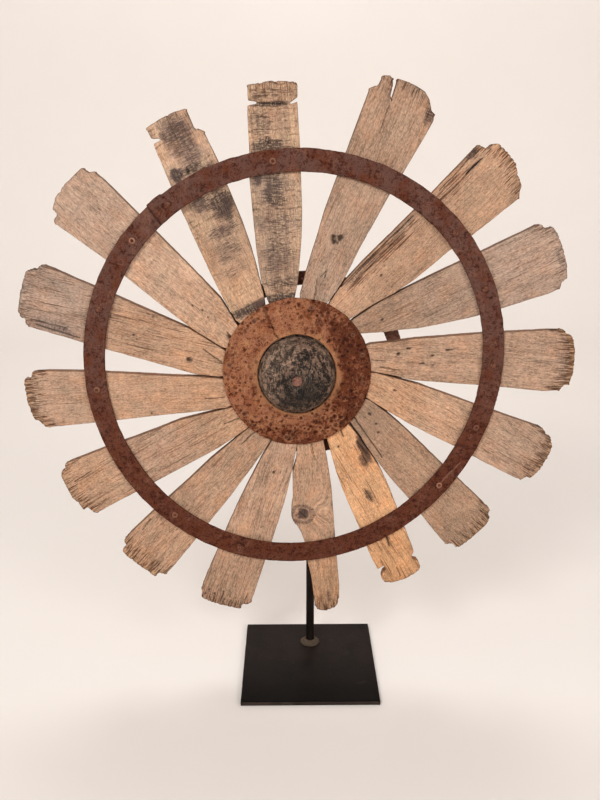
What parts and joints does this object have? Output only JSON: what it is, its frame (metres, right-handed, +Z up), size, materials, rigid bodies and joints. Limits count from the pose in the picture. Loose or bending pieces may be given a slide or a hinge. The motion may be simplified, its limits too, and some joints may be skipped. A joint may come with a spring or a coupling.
{
  "type": "spinning wheel drive wheel on stand",
  "caption": "Old wooden spinning-wheel drive wheel with flat radiating paddles, riveted iron hoop and dished hub plate, turning on an axle held by a square-based metal stand.",
  "frame": {"origin": "centre of the base plate's bottom face, where the stand rests on the table", "axes": "+Z up, -Y towards the viewer (the wheel's front face), +X to the viewer's right; the wheel's axle runs along Y"},
  "size_m": [0.5565, 0.15, 0.632],
  "materials": {
    "weathered_wood": "dry weathered grey-tan wood with open grain",
    "orange_wood": "dry orange-tan wood with open grain",
    "stained_wood": "dry weathered tan wood with grey-black stains",
    "nave_wood": "dark greasy turned wood, worn",
    "hoop_iron": "dark maroon-brown rust, matt",
    "plate_iron": "orange-brown rust with dark pits, matt",
    "fastener_iron": "dark rust, matt",
    "axle_iron": "worn pinkish-brown iron",
    "black_steel": "satin black paint",
    "weld_steel": "grey-brown weld bead under thin black paint"
  },
  "bodies": {
    "stand": {"base_plate": "black_steel", "post": "black_steel", "foot_weld": "weld_steel", "bearing_sleeve": "black_steel", "sleeve_weld": "weld_steel"},
    "wheel": {"nave": "nave_wood", "paddle_01": "stained_wood", "paddle_02": "stained_wood", "paddle_03": "weathered_wood", "paddle_04": "weathered_wood", "paddle_05": "weathered_wood", "paddle_06": "weathered_wood", "paddle_07": "weathered_wood", "paddle_08": "weathered_wood", "paddle_09": "weathered_wood", "paddle_10": "orange_wood", "paddle_11": "weathered_wood", "paddle_12": "weathered_wood", "paddle_13": "weathered_wood", "paddle_14": "weathered_wood", "paddle_15": "weathered_wood", "paddle_16": "weathered_wood", "rim_hoop": "hoop_iron", "rim_rivet_01": "fastener_iron", "rim_rivet_02": "fastener_iron", "rim_rivet_03": "fastener_iron", "rim_rivet_04": "fastener_iron", "rim_rivet_05": "fastener_iron", "rim_rivet_06": "fastener_iron", "rim_rivet_07": "fastener_iron", "rim_rivet_08": "fastener_iron", "rim_rivet_09": "fastener_iron", "rim_rivet_10": "fastener_iron", "rim_rivet_11": "fastener_iron", "rim_rivet_12": "fastener_iron", "rim_rivet_13": "fastener_iron", "rim_rivet_14": "fastener_iron", "rim_rivet_15": "fastener_iron", "rim_rivet_16": "fastener_iron", "rim_lap_rivet_01": "fastener_iron", "rim_lap_rivet_02": "fastener_iron", "hub_plate": "plate_iron", "hub_plate_nail_01": "fastener_iron", "hub_plate_nail_02": "fastener_iron", "hub_plate_nail_03": "fastener_iron", "hub_plate_nail_04": "fastener_iron", "hub_plate_nail_05": "fastener_iron", "hub_plate_nail_06": "fastener_iron", "hub_plate_nail_07": "fastener_iron", "hub_plate_nail_08": "fastener_iron", "back_hoop": "hoop_iron", "back_hoop_nail_01": "fastener_iron", "back_hoop_nail_02": "fastener_iron", "back_hoop_nail_03": "fastener_iron", "back_hoop_nail_04": "fastener_iron", "axle": "axle_iron", "thrust_washer": "fastener_iron", "rear_washer": "fastener_iron", "cotter_pin": "axle_iron"}
  },
  "joints": [
    {"name": "wheel_spin", "type": "hinge", "parent": "stand", "child": "wheel", "pos_m": [-0.0138, 0.0369, 0.3524], "axis": [0, 1, 0], "continuous": true}
  ]
}
